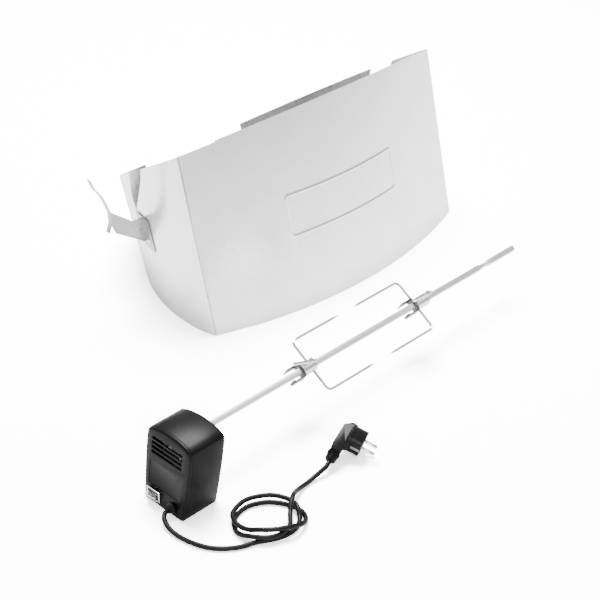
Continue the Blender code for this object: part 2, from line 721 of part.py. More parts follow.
def gear_train():
    half_step = math.pi / PINION_TEETH
    wheel = gear("output_gear", "white_plastic", WHEEL_TEETH, axis_at(0), MOTOR_X + GEAR_PLANES[0],
                 direction(0, 1))
    stub = shaft("output stub", "white_plastic", 0, 2.5 * MM, 22.0 * MM, GEAR_PLANES[0])
    combine(wheel, [stub], "UNION")
    combine(wheel, [shaft("output recess", "white_plastic", 0, 3.3 * MM, GEAR_PLANES[0] + 0.6 * MM, 45 * MM)])
    start = GEAR_PLANES[0] + 0.9 * MM
    outline = [(0.0, start), (3.0 * MM, start), (3.0 * MM, 39.1 * MM), (8.0 * MM, 39.1 * MM),
               (8.0 * MM, 66.5 * MM), (0.0, 66.5 * MM)]
    socket = turned("drive_socket", "dark_steel", outline, along_x(MOTOR_X, AXIS_Y, AXIS_Z), 32)
    combine(socket, [square_bar("socket bore", SPIT_SIDE / 2 + GAP, 42.5 * MM, 70 * MM)])
    for index, plane in ((1, 0), (2, 1)):
        name = f"idler_gear_{index}"
        towards = direction(index, index + 1)
        idler = gear(name, "white_plastic", WHEEL_TEETH, axis_at(index), MOTOR_X + GEAR_PLANES[plane + 1],
                     towards)
        pinion = gear(f"{name} pinion", "white_plastic", PINION_TEETH, axis_at(index),
                      MOTOR_X + GEAR_PLANES[plane], direction(index, index - 1) + half_step)
        collar = shaft(f"{name} sleeve", "white_plastic", index, 2.6 * MM, GEAR_PLANES[plane + 1],
                       GEAR_PLANES[plane])
        axle = shaft(f"{name} axle", "white_plastic", index, 1.8 * MM, 20.6 * MM, 45.0 * MM)
        combine(idler, [pinion, collar, axle], "UNION")
    rotor = turned("motor_rotor", "dark_steel", [(0.0, 3.4 * MM), (1.5 * MM, 3.4 * MM), (1.5 * MM, 5.3 * MM),
                   (9.4 * MM, 5.3 * MM), (9.4 * MM, 15.7 * MM), (1.5 * MM, 15.7 * MM), (1.5 * MM, 27.6 * MM),
                   (0.0, 27.6 * MM)], along_x(MOTOR_X, *axis_at(3)), 24)
    pinion = gear("rotor pinion", "dark_steel", PINION_TEETH, axis_at(3), MOTOR_X + GEAR_PLANES[2],
                  direction(3, 2) + half_step)
    combine(rotor, [pinion], "UNION")


def gear_plates():
    """Two steel plates carry the gear axles."""
    for name, x in (("gear_plate_front", 21.2 * MM), ("gear_plate_rear", 43.4 * MM)):
        plate = box(name, "stainless", (MOTOR_X + x - 0.7 * MM, MOTOR_Y - 24 * MM, 24 * MM),
                    (MOTOR_X + x + 0.7 * MM, MOTOR_Y + 28 * MM, 92 * MM))
        rear = name.endswith("rear")
        radii = [8.4 * MM if rear else 2.9 * MM, 2.2 * MM, 2.2 * MM, 2.0 * MM]
        holes = []
        for index, radius in enumerate(radii):
            if rear and index == 3:
                continue
            holes.append(shaft(f"{name} hole {index}", "stainless", index, radius, x - 4 * MM, x + 4 * MM))
        combine(plate, holes)


def motor_stator():
    """A laminated frame round the rotor with a limb that carries the coil."""
    y, z = axis_at(3)
    start = MOTOR_X + 5.0 * MM
    end = MOTOR_X + 16.0 * MM
    frame = box("motor_stator", "dark_steel", (start, MOTOR_Y - 33 * MM, 17 * MM),
                (end, y + 15 * MM, 51 * MM))
    window = box("stator window", "dark_steel", (start - 5 * MM, MOTOR_Y - 27 * MM, 22 * MM),
                 (end + 5 * MM, MOTOR_Y - 19 * MM, 46 * MM))
    bore = shaft("stator bore", "dark_steel", 3, 10.0 * MM, 2 * MM, 20 * MM)
    combine(frame, [window, bore])
    coil = box("motor_coil", "copper", (MOTOR_X + 2.2 * MM, MOTOR_Y - 36 * MM, 23 * MM),
               (MOTOR_X + 19.8 * MM, MOTOR_Y - 22.5 * MM, 45 * MM))
    limb = box("coil limb", "copper", (start - GAP, MOTOR_Y - 33 * MM - GAP, 20 * MM),
               (end + GAP, MOTOR_Y - 27 * MM + GAP, 48 * MM))
    combine(coil, [limb])


def terminal_block():
    low = (MOTOR_X + 24 * MM, MOTOR_Y - 30 * MM, 5 * MM)
    high = (MOTOR_X + 33 * MM, MOTOR_Y - 6 * MM, 15 * MM)
    return box("terminal_block", "white_plastic", low, high, bevel=0.6 * MM)


# ---------------------------------------------------------------- switch and gland

SWITCH_Y = MOTOR_Y + 17.5 * MM
SWITCH_Z = 15.0 * MM


def switch_face():
    return MOTOR_X + CASE_FRONT + CASE_LEAN * SWITCH_Z


def frame_box(name, slot, x0, x1, half_y, half_z, bevel=0.0):
    low = (x0, SWITCH_Y - half_y, SWITCH_Z - half_z)
    high = (x1, SWITCH_Y + half_y, SWITCH_Z + half_z)
    return box(name, slot, low, high, bevel=bevel)


def switch():
    face = switch_face()
    bezel = frame_box("switch_bezel", "chrome", face - 3.0 * MM, face - 1.5 * MM, 12.3 * MM, 8.2 * MM)
    combine(bezel, [frame_box("bezel opening", "chrome", face - 5 * MM, face + 3 * MM, 9.9 * MM, 6.5 * MM)])
    body = frame_box("switch_body", "black_plastic", face - 0.4 * MM, face + 10 * MM, 9.6 * MM, 6.2 * MM)
    combine(body, [frame_box("switch cavity", "black_plastic", face - 3 * MM, face + 8 * MM, 8.4 * MM,
                             5.2 * MM)])
    boot = frame_box("switch_boot", "clear_rubber", face - 7.4 * MM, face - 0.6 * MM, 9.6 * MM, 6.2 * MM)
    round_edges(boot, 1.6 * MM)
    combine(boot, [frame_box("boot hollow", "clear_rubber", face - 6.6 * MM, face + 2 * MM, 8.8 * MM,
                             5.4 * MM)])
    profile = [(-7.4, -1.4), (-7.2, 2.0), (0.0, 0.6), (7.4, 3.4), (7.4, -3.6), (0.0, -5.2), (-7.4, -3.6)]
    place = Matrix(((0, -1, 0, face - 0.5 * MM), (1, 0, 0, SWITCH_Y), (0, 0, 1, SWITCH_Z), (0, 0, 0, 1)))
    outline = [(y * MM, x * MM) for y, x in profile]
    rocker = slab("switch_rocker", "black_plastic", outline, 9.2 * MM, place)
    return rocker


def cord_gland():
    face = switch_face() - MOTOR_X
    bore = CORD_RADIUS + 0.5 * MM
    profile = [(bore, face - 8 * MM), (4.9 * MM, face - 8 * MM), (5.6 * MM, face - 3.6 * MM),
               (8.0 * MM, face - 3.2 * MM), (8.0 * MM, face - 2.0 * MM), (6.0 * MM, face - 2.0 * MM),
               (6.0 * MM, face + 6 * MM), (bore, face + 6 * MM)]
    return turned("cord_gland", "black_rubber", profile, along_x(MOTOR_X, GLAND_Y, GLAND_Z), 24)


# ---------------------------------------------------------------- spit and forks

def square_bar(name, half, start, end, slot="chrome"):
    """A square bar on the spit's axis, rolled with the forks."""
    outline = [(-half, -half), (half, -half), (half, half), (-half, half)]
    up = (0, -math.sin(SPIT_ROLL), math.cos(SPIT_ROLL))
    place = frame_at((MOTOR_X + (start + end) / 2, AXIS_Y, AXIS_Z), (1, 0, 0), up)
    return slab(name, slot, outline, end - start, place)


def spit_rod():
    bar = square_bar("spit_rod", SPIT_SIDE / 2, SPIT_START, SPIT_END)
    neck = [(3.5 * MM, NECK_START + 3 * MM), (8.0 * MM, NECK_START), (8.0 * MM, NECK_END),
            (3.5 * MM, NECK_END - 3 * MM)]
    combine(bar, [turned("spit neck", "chrome", neck, along_x(MOTOR_X, AXIS_Y, AXIS_Z), 20)])
    return bar


def fork_axes():
    across = Vector((0, -math.cos(SPIT_ROLL), -math.sin(SPIT_ROLL)))
    up = Vector((0, -math.sin(SPIT_ROLL), math.cos(SPIT_ROLL)))
    return across, up


def fork(index):
    across, up = fork_axes()
    number = index + 1
    sign = FORK_SIGN[index]
    centre = Vector((MOTOR_X + FORK_X[index], AXIS_Y, AXIS_Z))
    along = Vector((sign, 0, 0))
    hub_place = along_x(MOTOR_X, AXIS_Y, AXIS_Z)
    start = HUB_START[index]
    end = start + HUB_LENGTH
    chamfer = 0.8 * MM
    profile = [(4.0 * MM, start), (HUB_RADIUS - chamfer, start), (HUB_RADIUS, start + chamfer),
               (HUB_RADIUS, end - chamfer), (HUB_RADIUS - chamfer, end), (4.0 * MM, end)]
    hub = turned(f"fork_{number}_prongs", "chrome", profile, hub_place, 20)
    bend = 7 * MM
    sides = []
    for way in (-1, 1):
        reach = CROSSBAR * way
        corner = centre + across * reach
        points = [centre + across * way * 5.6 * MM, corner - across * way * bend]
        for i in range(1, 4):
            angle = math.radians(22.5 * i)
            points.append(corner + across * way * bend * (math.sin(angle) - 1)
                          + along * bend * (1 - math.cos(angle)))
        points += [corner + along * bend, corner + along * (PRONG - 14 * MM)]
        sides.append(wire(f"fork_{number} wire {way}", "chrome", points, WIRE))
        tip = frame_at(corner + along * (PRONG - 16 * MM), along)
        cone = [(0.0, 0.0), (WIRE, 0.0), (WIRE, 4 * MM), (0.5 * MM, 16 * MM), (0.0, 16 * MM)]
        sides.append(turned(f"fork_{number} tip {way}", "chrome", cone, tip, 8))
    combine(hub, sides, "UNION")
    combine(hub, [square_bar(f"fork_{number} bore", SPIT_SIDE / 2 + GAP, start - 5 * MM, start + 40 * MM)])
    thread = frame_at((MOTOR_X + SCREW_X[index], AXIS_Y, AXIS_Z), up, (1, 0, 0))
    tapped = rod_profile(2.6 * MM, 1 * MM, 14 * MM)
    combine(hub, [turned(f"fork_{number} thread", "chrome", tapped, thread, 16)])
    bracket(index, across, up)
    thumbscrew(index, up, thread)


def bracket(index, across, up):
    """The U-shaped clamp behind the hub: a web on the spit and two arms towards the motor."""
    number = index + 1
    web_x = WEB_X[index]
    width = 7.0 * MM
    half = 10.5 * MM
    thick = 1.8 * MM
    reach = 22 * MM
    outline = [(half, 0), (half, reach), (half - 3 * MM, reach + 2 * MM), (half - 4 * MM, reach + 1 * MM),
               (half - thick, reach - 1 * MM), (half - thick, thick), (thick - half, thick),
               (thick - half, reach), (-half, reach), (-half, 0)]
    place = Matrix((across, (-1, 0, 0), across.cross(Vector((-1, 0, 0))))).transposed().to_4x4()
    place = Matrix.Translation((MOTOR_X + web_x, AXIS_Y, AXIS_Z)) @ place
    clamp = slab(f"fork_{number}_bracket", "dark_steel", outline, 2 * width, place)
    bore = square_bar(f"fork_{number} bracket bore", SPIT_SIDE / 2 + GAP, web_x - 6 * MM, web_x + 6 * MM)
    return combine(clamp, [bore])


def thumbscrew(index, up, thread):
    number = index + 1
    profile = [(0.0, 4.4 * MM), (2.2 * MM, 4.4 * MM), (2.2 * MM, 19.0 * MM), (3.9 * MM, 19.8 * MM),
               (3.9 * MM, 26.8 * MM), (3.0 * MM, 28.0 * MM), (0.0, 28.4 * MM)]
    screw = turned(f"fork_{number}_thumbscrew", "chrome", profile, thread, 20)
    bar_way = Vector((1, -0.37, 0)) if index == 0 else Vector((1, -0.05, 0))
    bar_way = (bar_way - up * up.dot(bar_way)).normalized()
    middle = thread @ Vector((0, 0, 23.4 * MM)) - bar_way * 9 * MM
    bar = [(0.0, -18 * MM), (2.0 * MM, -18 * MM), (2.7 * MM, -17.2 * MM), (2.7 * MM, -14 * MM),
           (2.3 * MM, -13 * MM), (2.3 * MM, 13 * MM), (2.7 * MM, 14 * MM), (2.7 * MM, 17.2 * MM),
           (2.0 * MM, 18 * MM), (0.0, 18 * MM)]
    handle = turned(f"thumbscrew bar {number}", "chrome", bar, frame_at(middle, bar_way), 16)
    return combine(screw, [handle], "UNION")


# ---------------------------------------------------------------- cord and plug

LOOP_CENTRE = Vector((-346.7, -382.9)) * MM


def loop_point(angle, radius, height):
    """A point on the lying loop; the loop is a little wider from left to right."""
    turn = math.radians(angle)
    wide = radius * 1.08 * math.cos(turn)
    deep = radius * 0.96 * math.sin(turn)
    return Vector((LOOP_CENTRE.x + (wide + deep) * 0.7071, LOOP_CENTRE.y + (deep - wide) * 0.7071, height))


def cord_route():
    floor = CORD_RADIUS + 0.25 * MM
    second = 10.1 * MM
    third = 16.9 * MM
    lead = [(2, -17, 12), (-7, -17, 12), (-14.6, -17, 12), (-20.6, -18.5, 11.4), (-26.5, -25, 9),
            (-30, -38, 5.6), (-30, -55, 3.5), (-26, -76, 3.3), (-18, -96, 3.3), (-5, -112, 3.3),
            (12, -124, 3.3)]
    route = [Vector((MOTOR_X + x * MM, MOTOR_Y + y * MM, z * MM)) for x, y, z in lead]
    turns = [(-108, 46.5, floor), (-95, 41, floor), (-78, 38, floor), (-55, 36.5, floor), (-28, 36.5, floor),
             (-5, 36.5, floor), (10, 36.8, 5 * MM), (22, 37.8, 8.5 * MM), (35, 39.4, second),
             (60, 41, second), (90, 41.5, second), (130, 41.5, second), (170, 41.5, second),
             (195, 40, second),
             (215, 38, second), (235, 36.3, 12 * MM), (252, 35.5, 15.5 * MM), (270, 35.5, third),
             (288, 36.2, third), (305, 38, third), (320, 40.3, 15 * MM), (335, 42.4, 11 * MM),
             (350, 43.6, 7.3 * MM), (365, 44.0, 4.3 * MM), (380, 43.2, floor), (395, 41, floor),
             (415, 37.5, floor), (450, 35.5, floor), (490, 36, floor), (525, 37.8, floor), (550, 40.2, floor),
             (570, 42.5, floor), (584, 43.8, 5 * MM), (597, 44.2, 8.5 * MM), (611, 43.6, second),
             (628, 42.4, second), (643, 40.6, second), (658, 37.2, second), (675, 33, second),
             (690, 29.8, second)]
    route += [loop_point(angle, radius * MM, height) for angle, radius, height in turns]
    tail = [(92, -128.5, 11), (100, -121.5, 15), (107.5, -116.5, 17.6), (115, -111, 17), (126, -104, 11.5),
            (140, -98.5, 6.4), (152, -96.5, 4.4), (164, -95.5, 5), (176, -96, 7.8)]
    route += [Vector((MOTOR_X + x * MM, MOTOR_Y + y * MM, z * MM)) for x, y, z in tail]
    boot = PLUG_FACE - PLUG_PINS * PLUG_DEPTH
    for reach in (9 * MM, 0.0, -6 * MM, -14 * MM):
        route.append(boot + PLUG_CABLE * (BOOT_LENGTH + reach))
    return route


def power_cord():
    return wire("power_cord", "black_rubber", smooth_curve(cord_route(), 80), CORD_RADIUS)


def plug():
    face = frame_at(PLUG_FACE, PLUG_PINS, PLUG_CABLE)
    profile = [(0.0, -22.5 * MM), (17.5 * MM, -22.5 * MM), (19.5 * MM, -21 * MM), (19.5 * MM, -17.5 * MM),
               (18.0 * MM, -17.0 * MM), (18.0 * MM, -0.8 * MM), (17.2 * MM, 0.0), (0.0, 0.0)]
    body = turned("plug_body", "black_rubber", profile, face, 28)
    outline = [(-18.2, -21.0), (-17.0, -25.5), (-9.0, -35.0), (24.0, -36.0), (33.0, -35.0), (33.0, -21.4),
               (18.5, -20.6)]
    side_on = face @ Matrix(((1, 0, 0, 0), (0, 0, -1, 0), (0, 1, 0, 0), (0, 0, 0, 1)))
    wedge = slab("plug wedge", "black_rubber", [(x * MM, z * MM) for x, z in outline], 19 * MM, side_on)
    combine(body, [wedge], "UNION")
    boot_place = frame_at(PLUG_FACE - PLUG_PINS * PLUG_DEPTH, PLUG_CABLE, PLUG_PINS)
    boot = [(0.0, 25 * MM), (7.6 * MM, 25 * MM), (7.0 * MM, 36 * MM), (6.2 * MM, BOOT_LENGTH - 1 * MM),
            (5.4 * MM, BOOT_LENGTH), (CORD_RADIUS + 0.5 * MM, BOOT_LENGTH),
            (CORD_RADIUS + 0.5 * MM, BOOT_LENGTH - 15 * MM), (0.0, BOOT_LENGTH - 15 * MM)]
    combine(body, [turned("plug boot", "black_rubber", boot, boot_place, 16)], "UNION")
    cuts = []
    for way, word in ((-1, "far"), (1, "near")):
        near, wide, clip = 13.5 * MM * way, 24 * MM * way, 11.6 * MM * way
        low = (min(near, wide), -22 * MM, -16.8 * MM)
        high = (max(near, wide), 22 * MM, 4 * MM)
        cuts.append(box(f"plug {word} side", "black_rubber", low, high, face))
        low = (min(clip, near + 0.5 * MM * way), -3.3 * MM, -14 * MM)
        high = (max(clip, near + 0.5 * MM * way), 3.3 * MM, 4 * MM)
        cuts.append(box(f"{word} clip recess", "black_rubber", low, high, face))
        place = face @ Matrix.Translation((0, way * 9.5 * MM, 0))
        hole = rod_profile(2.7 * MM, -8 * MM, 4 * MM)
        cuts.append(turned(f"pin hole {way}", "black_rubber", hole, place, 16))
    combine(body, cuts)
    for way, word in ((-1, "low"), (1, "high")):
        place = face @ Matrix.Translation((0, way * 9.5 * MM, 0))
        pin = [(0.0, -7.6 * MM), (2.4 * MM, -7.6 * MM), (2.4 * MM, 17 * MM), (1.2 * MM, 19 * MM),
               (0.0, 19 * MM)]
        turned(f"plug_pin_{word}", "chrome", pin, place, 16)
    for way, word in ((-1, "far"), (1, "near")):
        edge = 12.4 * MM * way
        low = (min(edge, edge + 0.9 * MM * way), -3.0 * MM, -13.6 * MM)
        high = (max(edge, edge + 0.9 * MM * way), 3.0 * MM, -0.6 * MM)
        box(f"earth_clip_{word}", "brass", low, high, face)


def main():
    front_panel()
    side_panel("left_panel", -1)
    side_panel("right_panel", 1)
    rear_bridge()
    seam_fasteners()
    bridge_rivets()
    motor_bracket()
    bracket_rivets()
    front_cover()
    rear_housing()
    case_screws()
    hanger_plate()
    output_bushing()
    gear_train()
    gear_plates()
    motor_stator()
    terminal_block()
    switch()
    cord_gland()
    spit_rod()
    fork(0)
    fork(1)
    power_cord()
    plug()


clear_scene()
PARTS = new_collection("rotisserie_spit_roaster")
CUTTERS = new_collection("cutters")
main()
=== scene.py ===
"""Rotisserie spit roaster: fine surfaces, materials, floor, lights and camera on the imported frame."""
import math

import bmesh
import bpy
from mathutils import Matrix, Vector


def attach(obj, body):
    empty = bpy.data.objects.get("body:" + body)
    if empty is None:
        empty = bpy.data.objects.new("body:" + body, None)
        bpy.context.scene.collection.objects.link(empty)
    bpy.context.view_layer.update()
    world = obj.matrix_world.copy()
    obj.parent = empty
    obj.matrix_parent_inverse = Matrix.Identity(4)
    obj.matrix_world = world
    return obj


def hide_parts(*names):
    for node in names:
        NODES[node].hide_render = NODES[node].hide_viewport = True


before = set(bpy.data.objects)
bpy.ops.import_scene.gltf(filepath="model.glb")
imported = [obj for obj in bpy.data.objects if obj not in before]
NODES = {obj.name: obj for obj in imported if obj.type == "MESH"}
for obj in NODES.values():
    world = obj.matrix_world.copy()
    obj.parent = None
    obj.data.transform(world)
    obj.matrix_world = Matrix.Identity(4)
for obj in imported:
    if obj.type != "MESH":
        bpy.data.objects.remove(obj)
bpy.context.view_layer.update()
MM = 0.001

# collar, drawn about the middle of the line between its two seams
COLLAR_X = 0.1538
COLLAR_Y = -0.0302
COLLAR_Z = 0.00045
SHEET = 0.001
SEAM_X = 0.2664                    # half the distance between the seams
FRONT_BULGE = 0.0482               # how far the front panel bows out
SIDE_A = 0.274                     # half axes of the side panels' ellipse
SIDE_B = 0.2838
SIDE_Y = 0.0472
LEAN = math.radians(14.8)
SEAM_HEIGHT = 0.2835
HEIGHT_FALL = 0.588
REAR_GAP = 0.106
FLANGE = 0.013
FOLD_RADIUS = 0.0024
SEAM_GAP = 0.001
LIP = 0.009
HEM_X = 0.212                      # the front panel is hemmed between -HEM_X and HEM_X
HEM_RISE = 0.0022
FINE_STEP = 0.0008                 # grid spacing where the front panel is pressed
SIDE_START = math.radians(-6.0)
SIDE_COLUMNS = 90
SIDE_ROWS = 26
BRIDGE_OVERLAP = 0.018
BRIDGE_HEIGHT = 0.044
BRIDGE_INSET = 0.0017

# blank pressed plate on the front panel
PLATE_LEFT = -0.1225
PLATE_RIGHT = 0.1065
PLATE_LOW = 0.1177
PLATE_HIGH = 0.1865
PLATE_CORNER = 0.008
BEAD_RISE = 0.0011
BEAD_WIDTH = 0.0013
PLATE_RISE = 0.0003

# motor unit: where the cord's route is measured from
MOTOR_X = -0.4167
MOTOR_Y = -0.2714

# cord and plug
CORD_RADIUS = 0.00325
LOOP_CENTRE = Vector((-0.3467, -0.3829))
PLUG_FACE = Vector((-0.1654, -0.3765, 0.0186))
PLUG_PINS = Vector((0.37, -0.87, -0.32)).normalized()
PLUG_CABLE = Vector((-0.92, -0.29, -0.27))
PLUG_CABLE = (PLUG_CABLE - PLUG_PINS * PLUG_PINS.dot(PLUG_CABLE)).normalized()
PLUG_DEPTH = 0.028
BOOT_LENGTH = 0.047
BOOT_RIBS = 4

# camera and light
LENS = 92.0
CAMERA_TARGET = Vector((0.0453, -0.0474, 0.0))
CAMERA_ELEVATION = math.radians(32.81)
CAMERA_DISTANCE = 2.359
WORLD_STRENGTH = 0.8
FLOOR_SIZE = 6.0
FLOOR_GAIN = 3.8                   # how much brighter the camera sees the floor than the metal does


# ---------------------------------------------------------------- small helpers

def link(obj):
    bpy.context.scene.collection.objects.link(obj)
    return obj


def object_from(name, bm, material):
    bmesh.ops.recalc_face_normals(bm, faces=bm.faces)
    mesh = bpy.data.meshes.new(name)
    bm.to_mesh(mesh)
    bm.free()
    mesh.materials.append(material)
    mesh.polygons.foreach_set("use_smooth", [True] * len(mesh.polygons))
    return link(bpy.data.objects.new(name, mesh))


def frame_at(origin, z_axis, x_hint=(0, 0, 1)):
    z_axis = Vector(z_axis).normalized()
    x_axis = Vector(x_hint)
    x_axis = (x_axis - z_axis * z_axis.dot(x_axis)).normalized()
    y_axis = z_axis.cross(x_axis)
    return Matrix.Translation(Vector(origin)) @ Matrix((x_axis, y_axis, z_axis)).transposed().to_4x4()


def turned(name, profile, place, material, steps=64):
    """Lathe a closed profile of (radius, height) about the local Z axis of a placement."""
    bm = bmesh.new()
    verts = [bm.verts.new((radius, 0.0, height)) for radius, height in profile]
    edges = [bm.edges.new((verts[i], verts[i + 1])) for i in range(len(verts) - 1)]
    if profile[0][0] > 0.0:
        edges.append(bm.edges.new((verts[-1], verts[0])))
    bmesh.ops.spin(bm, geom=verts + edges, cent=(0, 0, 0), axis=(0, 0, 1), dvec=(0, 0, 0),
                   angle=2 * math.pi, steps=steps, use_merge=True)
    bmesh.ops.remove_doubles(bm, verts=bm.verts, dist=1e-7)
    bmesh.ops.transform(bm, matrix=place, verts=bm.verts)
    return object_from(name, bm, material)


def crease(obj, degrees=32):
    """Smooth shading that breaks at sharp edges."""
    split = obj.modifiers.new("sharp edges", "EDGE_SPLIT")
    split.split_angle = math.radians(degrees)
    return obj


def soften(obj, width, segments=2, degrees=35):
    bevel = obj.modifiers.new("soft edges", "BEVEL")
    bevel.width = width
    bevel.segments = segments
    bevel.limit_method = "ANGLE"
    bevel.angle_limit = math.radians(degrees)
    bevel.harden_normals = False
    return crease(obj)


def polish(node, material, width=0.0):
    """Dress a CAD node: welded, with softened edges, smooth shading and its own material."""
    obj = NODES[node]
    obj.data.polygons.foreach_set("use_smooth", [True] * len(obj.data.polygons))
    obj.data.materials.clear()
    obj.data.materials.append(material)
    weld = obj.modifiers.new("weld", "WELD")
    weld.merge_threshold = 1e-5
    if width > 0.0:
        return soften(obj, width)
    return crease(obj)


def apply_modifiers(obj):
    graph = bpy.context.evaluated_depsgraph_get()
    mesh = bpy.data.meshes.new_from_object(obj.evaluated_get(graph))
    obj.modifiers.clear()
    obj.data = mesh
    return obj


def place_piece(obj, body, *nodes):
    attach(obj, body)
    if nodes:
        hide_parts(*nodes)
    return obj


# ---------------------------------------------------------------- materials

def shader(name, colour, roughness, metallic=0.0):
    made = bpy.data.materials.new(name)
    made.use_nodes = True
    tree = made.node_tree
    bsdf = tree.nodes["Principled BSDF"]
    bsdf.inputs["Base Color"].default_value = (*colour, 1.0)
    bsdf.inputs["Roughness"].default_value = roughness
    bsdf.inputs["Metallic"].default_value = metallic
    return made, tree, bsdf


def texture_space(tree, scale):
    """Object coordinates, which are metres here, times a scale per axis."""
    source = tree.nodes.new("ShaderNodeTexCoord")
    mapping = tree.nodes.new("ShaderNodeMapping")
    mapping.inputs["Scale"].default_value = scale
    tree.links.new(source.outputs["Object"], mapping.inputs["Vector"])
    return mapping.outputs["Vector"]


def noise(tree, vector, scale, detail=3.0, roughness=0.55):
    node = tree.nodes.new("ShaderNodeTexNoise")
    node.inputs["Scale"].default_value = scale
    node.inputs["Detail"].default_value = detail
    node.inputs["Roughness"].default_value = roughness
    tree.links.new(vector, node.inputs["Vector"])
    return node.outputs["Fac"]


def spread(tree, value, low, high):
    """Map a 0.3..0.7 noise value to a range."""
    node = tree.nodes.new("ShaderNodeMapRange")
    node.inputs["From Min"].default_value = 0.3
    node.inputs["From Max"].default_value = 0.7
    node.inputs["To Min"].default_value = low
    node.inputs["To Max"].default_value = high
    tree.links.new(value, node.inputs["Value"])
    return node.outputs["Result"]


def tint(tree, value, dark, light):
    ramp = tree.nodes.new("ShaderNodeValToRGB")
    ramp.color_ramp.elements[0].position = 0.3
    ramp.color_ramp.elements[0].color = (*dark, 1.0)
    ramp.color_ramp.elements[1].position = 0.7
    ramp.color_ramp.elements[1].color = (*light, 1.0)
    tree.links.new(value, ramp.inputs["Fac"])
    return ramp.outputs["Color"]


def bump(tree, bsdf, height, distance, strength=1.0):
    node = tree.nodes.new("ShaderNodeBump")
    node.inputs["Distance"].default_value = distance
    node.inputs["Strength"].default_value = strength
    tree.links.new(height, node.inputs["Height"])
    tree.links.new(node.outputs["Normal"], bsdf.inputs["Normal"])


def worn_metal(name, dark, light, rough_low, rough_high, stretch, grain, depth):
    """Metal with a rolled or brushed grain, cloudy colour and uneven gloss."""
    made, tree, bsdf = shader(name, light, rough_high, 1.0)
    lines = noise(tree, texture_space(tree, stretch), grain, 4.0)
    clouds = noise(tree, texture_space(tree, (1, 1, 1)), 14.0, 3.0)
    tree.links.new(tint(tree, clouds, dark, light), bsdf.inputs["Base Color"])
    tree.links.new(spread(tree, lines, rough_low, rough_high), bsdf.inputs["Roughness"])
    bump(tree, bsdf, lines, depth)
    return made


def textured_plastic(name, dark, light, roughness, grain, depth):
    made, tree, bsdf = shader(name, light, roughness)
    space = texture_space(tree, (1, 1, 1))
    fine = noise(tree, space, grain, 2.0)
    clouds = noise(tree, space, 25.0, 3.0)
    tree.links.new(tint(tree, clouds, dark, light), bsdf.inputs["Base Color"])
    tree.links.new(spread(tree, fine, roughness - 0.06, roughness + 0.1), bsdf.inputs["Roughness"])
    bsdf.inputs["Specular IOR Level"].default_value = 0.11
    bump(tree, bsdf, fine, depth)
    return made


def clear_moulding():
    made, tree, bsdf = shader("clear boot", (0.95, 0.955, 0.96), 0.04)
    bsdf.inputs["Transmission Weight"].default_value = 0.97
    bsdf.inputs["IOR"].default_value = 1.18
    ripple = noise(tree, texture_space(tree, (1, 1, 1)), 220.0, 1.0)
    tree.links.new(spread(tree, ripple, 0.02, 0.08), bsdf.inputs["Roughness"])
    bump(tree, bsdf, ripple, 0.00002)
    return made


def winding():
    made, tree, bsdf = shader("copper winding", (0.72, 0.3, 0.12), 0.3, 1.0)
    wave = tree.nodes.new("ShaderNodeTexWave")
    wave.bands_direction = "Z"
    wave.inputs["Scale"].default_value = 500.0
    wave.inputs["Distortion"].default_value = 0.6
    tree.links.new(texture_space(tree, (1, 1, 1)), wave.inputs["Vector"])
    lacquer = tint(tree, wave.outputs["Fac"], (0.3, 0.1, 0.04), (0.78, 0.34, 0.14))
    tree.links.new(lacquer, bsdf.inputs["Base Color"])
    bump(tree, bsdf, wave.outputs["Fac"], 0.0003)
    return made


STAINLESS = worn_metal("satin stainless", (0.84, 0.845, 0.85), (0.93, 0.93, 0.935), 0.24, 0.36,
                       (1, 1, 0.02), 900.0, 0.00001)
STEEL = worn_metal("drawn steel", (0.84, 0.84, 0.85), (0.93, 0.93, 0.93), 0.28, 0.42,
                   (0.03, 1, 1), 1800.0, 0.00002)
CHROME = worn_metal("bright plating", (0.78, 0.78, 0.79), (0.9, 0.9, 0.9), 0.06, 0.16,
                    (1, 1, 1), 300.0, 0.00002)
# Stainless darkened as painted shade. The collar's inner side and the motor bracket get it for the shade and
# dark reflections they catch, not because they are a duller metal.
PAINTED_SHADE_STAINLESS = worn_metal("stainless darkened as painted shade", (0.36, 0.36, 0.37), (0.48, 0.48, 0.49), 0.24, 0.34,
                             (1, 1, 1), 60.0, 0.000001)
DARK_STEEL = worn_metal("dark steel", (0.05, 0.045, 0.045), (0.13, 0.12, 0.12), 0.2, 0.36,
                        (1, 1, 1), 500.0, 0.00003)
SPRING_STEEL = worn_metal("earth clip steel", (0.36, 0.35, 0.33), (0.55, 0.54, 0.52), 0.22, 0.36,
                          (1, 1, 1), 600.0, 0.00002)
CASE_PLASTIC = textured_plastic("case plastic", (0.0014, 0.001, 0.0011), (0.003, 0.0023, 0.0025), 0.36,
                                1500.0, 0.00008)
GLOSS_PLASTIC = textured_plastic("switch plastic", (0.004, 0.004, 0.0045), (0.009, 0.009, 0.0095), 0.22,
                                 900.0, 0.00002)
CORD_RUBBER = textured_plastic("cord sheath", (0.004, 0.0035, 0.004), (0.009, 0.008, 0.009), 0.34,
                               1100.0, 0.00004)
PLUG_RUBBER = textured_plastic("plug moulding", (0.004, 0.004, 0.004), (0.010, 0.009, 0.010), 0.28,
                               700.0, 0.00003)
WHITE_PLASTIC = textured_plastic("gear plastic", (0.7, 0.69, 0.65), (0.8, 0.79, 0.75), 0.4,
                                 800.0, 0.00003)
CLEAR = clear_moulding()
COPPER = winding()


# ---------------------------------------------------------------- camera and cord

def camera():
    flat = math.cos(CAMERA_ELEVATION) * math.sqrt(0.5)
    data = bpy.data.cameras.new("camera")
    data.lens = LENS
    data.sensor_width = 36.0
    obj = link(bpy.data.objects.new("camera", data))
    obj.location = CAMERA_TARGET - Vector((flat, flat, -math.sin(CAMERA_ELEVATION))) * CAMERA_DISTANCE
    obj.rotation_euler = (math.pi / 2 - CAMERA_ELEVATION, 0.0, math.radians(-45.0))
    bpy.context.scene.camera = obj


